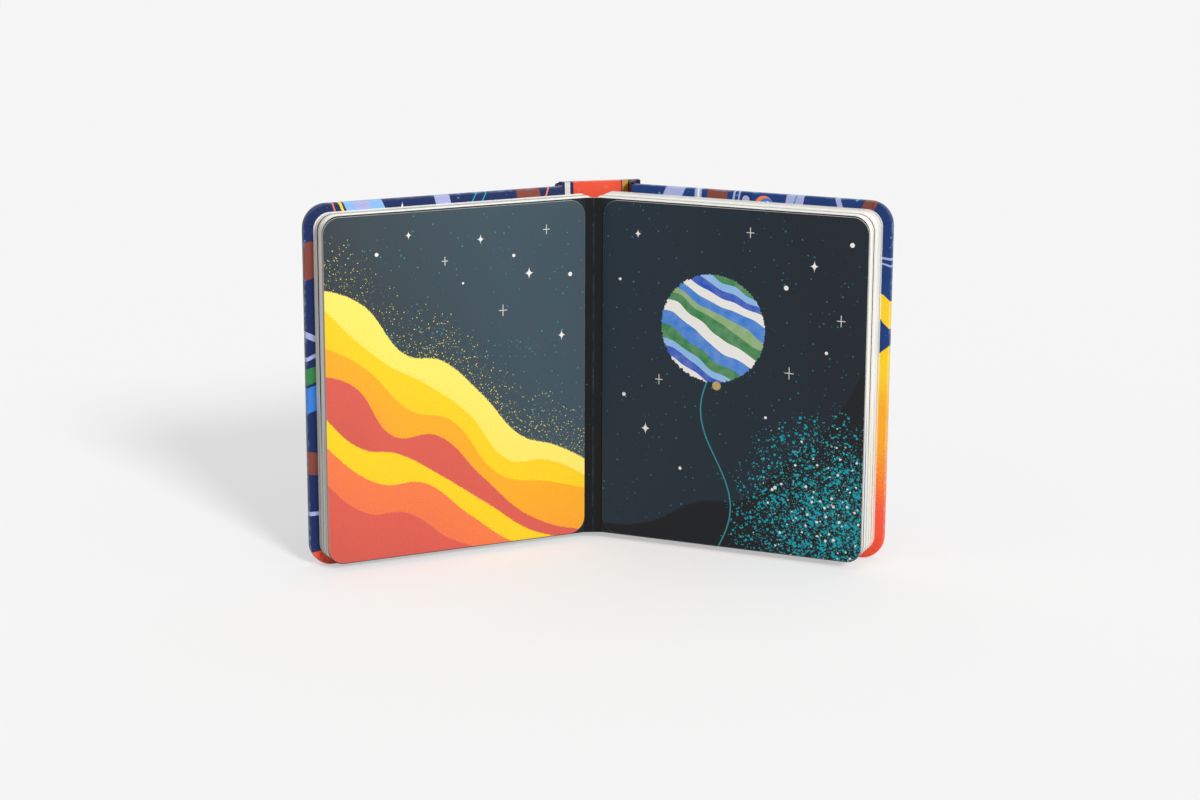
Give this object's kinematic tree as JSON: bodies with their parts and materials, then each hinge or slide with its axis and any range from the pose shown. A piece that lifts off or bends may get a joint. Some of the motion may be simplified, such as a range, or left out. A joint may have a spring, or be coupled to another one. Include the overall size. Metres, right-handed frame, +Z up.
{
  "type": "board book",
  "caption": "Cased board book with round-cornered covers and thick board leaves, standing open on its tail edge with both covers hinged.",
  "frame": {"origin": "centre of the bounding box's bottom face, on the surface that the open book stands on", "axes": "+X to the reader's right as the pages are read, +Y away from the reader towards the spine, +Z up from tail to head"},
  "size_m": [0.2432, 0.0772, 0.1535],
  "materials": {
    "cover_paper": "satin",
    "joint_paper": "satin",
    "greyboard": "matte",
    "white_card": "matte",
    "leaf_board": "matte",
    "printed_sheet": "satin",
    "page_card": "satin"
  },
  "bodies": {
    "back_half": {"back_cover_board": "greyboard", "back_cover_wrap": "cover_paper", "back_pastedown": "white_card", "back_leaves": "leaf_board", "back_spread_sheet": "printed_sheet", "back_page_panel": "page_card"},
    "front_half": {"front_cover_board": "greyboard", "front_cover_wrap": "cover_paper", "front_pastedown": "white_card", "front_leaves": "leaf_board", "front_spread_sheet": "printed_sheet", "front_page_panel": "page_card"},
    "spine": {"spine_board": "greyboard", "spine_wrap": "cover_paper", "front_joint": "joint_paper", "back_joint": "joint_paper"}
  },
  "joints": [
    {"name": "book_fold", "type": "hinge", "parent": "back_half", "child": "front_half", "pos_m": [-0.00151, 0.01046, 0.07675], "axis": [0, 0, -1], "range_deg": [-132, 48]},
    {"name": "spine_hinge", "type": "hinge", "parent": "back_half", "child": "spine", "pos_m": [0.01782, 0.02068, 0.07675], "axis": [0, 0, -1], "range_deg": [-54.12, 19.68]}
  ],
  "couplings": [
    {"joint": "spine_hinge", "follows": "book_fold", "ratio": 0.41}
  ]
}
